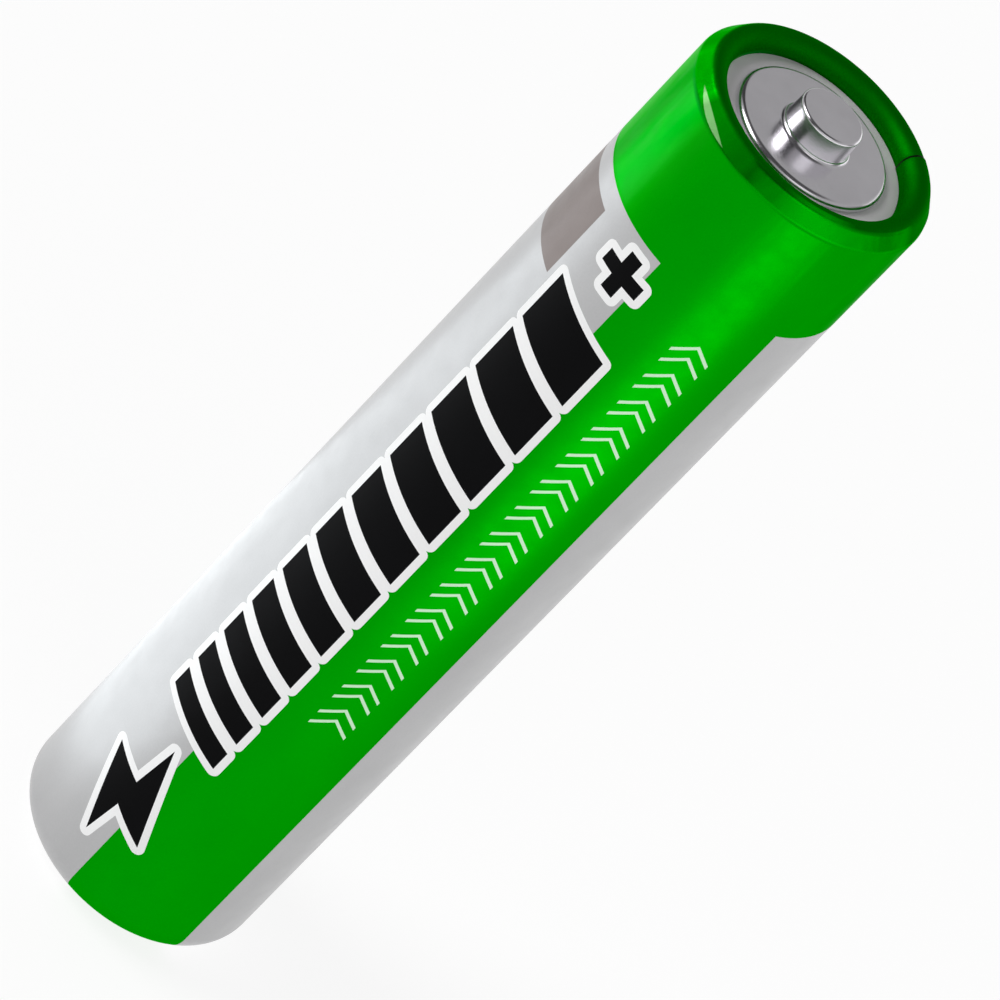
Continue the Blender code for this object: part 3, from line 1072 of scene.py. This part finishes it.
def moulded_nylon():
    colour = (0.80, 0.78, 0.71)
    material, tree, shader = finish_material(
        "moulded_nylon", colour, Subsurface_Weight=0.2, Subsurface_Scale=0.0004
    )
    cloud = noise(tree, 0.9, 3)
    texture = noise(tree, 0.06, 3)
    colours = blended(tree, spread(tree, cloud, 0.3, 0.7), shade(colour, 0.93), shade(colour, 1.04))
    rough = spread(tree, texture, 0.3, 0.7, 0.38, 0.52)
    feed(tree, shader, Base_Color=colours, Roughness=rough, Normal=raised(tree, [(texture, 0.002)]))
    return material


def bitumen():
    colour = (0.018, 0.014, 0.012)
    material, tree, shader = finish_material("bitumen_sealant", colour, Coat_Weight=0.3)
    ripples = noise(tree, 0.7, 3)
    dust = spread(tree, noise(tree, 0.08, 2), 0.6, 0.75)
    colours = blended(tree, dust, (*colour, 1), (0.06, 0.05, 0.045, 1))
    rough = spread(tree, dust, 0, 1, 0.25, 0.6)
    feed(tree, shader, Base_Color=colours, Roughness=rough, Normal=raised(tree, [(ripples, 0.02)]))
    return material


def plain_steel():
    colour = (0.43, 0.43, 0.44)
    material, tree, shader = finish_material("stamped_steel", colour, Metallic=1.0)
    rolled = noise(tree, 0.06, 2, (0.05, 1, 1))
    oxide = spread(tree, noise(tree, 1.1, 4), 0.5, 0.75)
    colours = blended(tree, oxide, (*colour, 1), (0.26, 0.24, 0.23, 1))
    rough = spread(tree, calc(tree, "ADD", rolled, oxide), 0.3, 1.4, 0.30, 0.55)
    feed(tree, shader, Base_Color=colours, Roughness=rough, Normal=raised(tree, [(rolled, 0.0015)]))
    return material


def dress_inner_nodes():
    """Gives each CAD node that stays its own finish."""
    looks = {
        pressed_powder(): [f"cathode_ring_{index}" for index in range(1, 5)],
        separator_paper(): ["separator_outer_wrap", "separator_inner_wrap", "separator_end_disc"],
        zinc_gel(): ["anode_gel"],
        drawn_brass(): ["collector_nail"],
        moulded_nylon(): ["seal_gasket"],
        bitumen(): ["sealant_band"],
        plain_steel(): ["support_washer"],
    }
    for material, nodes in looks.items():
        for node in nodes:
            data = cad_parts[node].data
            data.materials.clear()
            data.materials.append(material)


# ---------------------------------------------------------------- stage, light and camera

FLOOR_RADIUS = 4.0                            # metres
FLOOR_COLOUR = (0.25, 0.25, 0.25)
FLOOR_GLOW = 0.85
BACKDROP = 0.97
SKY_RADIANCE = (0.38, 0.34)                   # low in the sky and overhead
SKY_TILT = 0.06                               # how much brighter it is towards +X
SKY_PATCHES = (                               # azimuths, elevations and edge in degrees, radiance
    (-190, 190, 58, 100, 6, 0.06),            # dark ceiling
    (-78, -30, 39, 56, 6, 1.0),               # softbox high in front, at the right
    (-112, 12, 2, 20, 4, 1.0),                # low softbox in front
    (-153, -110, 8, 62, 4, 0.02),             # black flag beside the key light
    (18, 38, 3, 30, 6, 0.22),                 # dark corner at the right
    (42, 78, -1, 24, 6, 1.1),                 # low softbox behind, at the right
    (114, 152, 16, 60, 6, 0.03),              # black flag behind, at the left
)


def make_floor():
    """A pale floor that glows a little, so that shadows on it stay faint."""
    bpy.ops.mesh.primitive_circle_add(vertices=128, radius=FLOOR_RADIUS, fill_type="NGON")
    floor = bpy.context.object
    floor.name = "studio_floor"
    material, _, _ = finish_material(
        "studio_floor",
        FLOOR_COLOUR,
        Roughness=1.0,
        Specular_IOR_Level=0.0,
        Emission_Color=(1, 1, 1, 1),
        Emission_Strength=FLOOR_GLOW,
    )
    floor.data.materials.append(material)


def make_world():
    """Pale backdrop for the camera; for everything else a soft sky with SKY_PATCHES in it."""
    world = bpy.data.worlds.new("studio")
    bpy.context.scene.world = world
    world.use_nodes = True
    tree = world.node_tree
    tree.nodes.clear()
    direction = add(tree, "TexCoord").outputs["Generated"]
    x, y, z = add(tree, "SeparateXYZ", {0: direction}).outputs
    azimuth = calc(tree, "ARCTAN2", y, x)
    elevation = calc(tree, "ARCSINE", z)
    level = spread(tree, z, 0.2, 1.0, *SKY_RADIANCE)
    level = calc(tree, "ADD", level, product(tree, x, SKY_TILT))
    for left, right, low, high, soft, wanted in SKY_PATCHES:
        across = patch(tree, azimuth, left, right, soft)
        share = product(tree, across, patch(tree, elevation, low, high, soft))
        change = calc(tree, "SUBTRACT", wanted, level)
        level = calc(tree, "ADD", level, product(tree, share, change))
    sky = add(tree, "Background", {"Color": (1, 1, 1, 1), "Strength": level}).outputs[0]
    backdrop = add(tree, "Background", {"Color": (1, 1, 1, 1), "Strength": BACKDROP}).outputs[0]
    seen = add(tree, "LightPath").outputs["Is Camera Ray"]
    mix = add(tree, "MixShader", {0: seen, 1: sky, 2: backdrop}).outputs[0]
    add(tree, "OutputWorld", {"Surface": mix})


def from_direction(azimuth, elevation):
    """Unit vector towards a place on the sky; azimuth is anticlockwise from +X, in degrees."""
    turn, lift = radians(azimuth), radians(elevation)
    return Vector((cos(turn) * cos(lift), sin(turn) * cos(lift), sin(lift)))


def make_sun(name, azimuth, elevation, strength, width):
    """A round softbox far away, width degrees across."""
    data = bpy.data.lights.new(name, "SUN")
    data.energy = strength
    data.angle = radians(width)
    lamp = bpy.data.objects.new(name, data)
    lamp.rotation_euler = from_direction(azimuth, elevation).to_track_quat("Z", "Y").to_euler()
    bpy.context.scene.collection.objects.link(lamp)


def make_floor_card(name, azimuth, near, far, width, radiance, colour=(1, 1, 1)):
    """A glowing strip on the floor that points at the cell from near to far mm away, unseen itself."""
    data = bpy.data.lights.new(name, "AREA")
    data.shape = "RECTANGLE"
    data.size = (far - near) * MM
    data.size_y = width * MM
    data.energy = radiance * pi * data.size * data.size_y
    data.color = colour
    lamp = bpy.data.objects.new(name, data)
    turn = radians(azimuth)
    middle = (near + far) / 2 * MM
    spot = Matrix.Translation((cos(turn) * middle, sin(turn) * middle, 0.6 * MM))
    lamp.matrix_world = spot @ Matrix.Rotation(turn, 4, "Z") @ Matrix.Rotation(pi, 4, "X")
    lamp.visible_camera = False
    bpy.context.scene.collection.objects.link(lamp)


def make_lights():
    make_sun("key_softbox", azimuth=-169, elevation=34, strength=1.2, width=33)
    make_floor_card("front_right_card", azimuth=-44, near=34, far=90, width=36, radiance=1.1)
    make_floor_card(
        "left_card", azimuth=-183, near=8, far=90, width=44, radiance=1.1, colour=(0.90, 0.97, 1.0)
    )


def make_camera():
    """A long lens, tipped so that the cell lies across the picture with its nub at upper right."""
    aim = Vector((0.92, 0, 23.22)) * MM
    distance = 297.97 * MM
    elevation = radians(34.99)
    azimuth = radians(-90 - 0.216)
    roll = radians(44.025)
    data = bpy.data.cameras.new("camera")
    data.sensor_width = 36
    data.lens = 300
    data.clip_start = 1 * MM
    data.clip_end = 20
    camera = bpy.data.objects.new("camera", data)
    back = Vector((cos(elevation) * cos(azimuth), cos(elevation) * sin(azimuth), sin(elevation)))
    level_right = Vector((0, 0, 1)).cross(back).normalized()
    level_up = back.cross(level_right)
    right = level_right * cos(roll) + level_up * sin(roll)
    up = level_up * cos(roll) - level_right * sin(roll)
    turn = Matrix((right, up, back)).transposed().to_4x4()
    camera.matrix_world = Matrix.Translation(aim + back * distance) @ turn
    bpy.context.scene.collection.objects.link(camera)
    bpy.context.scene.camera = camera


# ---------------------------------------------------------------- the cell

def stand_for(piece, node):
    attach(piece, "root")
    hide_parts(node)


def main():
    bpy.context.scene.view_settings.view_transform = "Standard"
    make_camera()
    make_world()
    make_lights()
    make_floor()
    stand_for(make_sleeve(), "label_sleeve")
    cap_plate = nickel_plate("nickel_plate_cap", NICKEL, 0.21)
    can_plate = nickel_plate("nickel_plate_can", SATIN_NICKEL, 0.5, 0.15)
    stand_for(make_can(can_plate), "steel_can")
    stand_for(make_positive_cap(cap_plate), "positive_cap")
    stand_for(make_negative_cap(cap_plate), "negative_cap")
    dress_inner_nodes()


main()

bpy.context.view_layer.update()
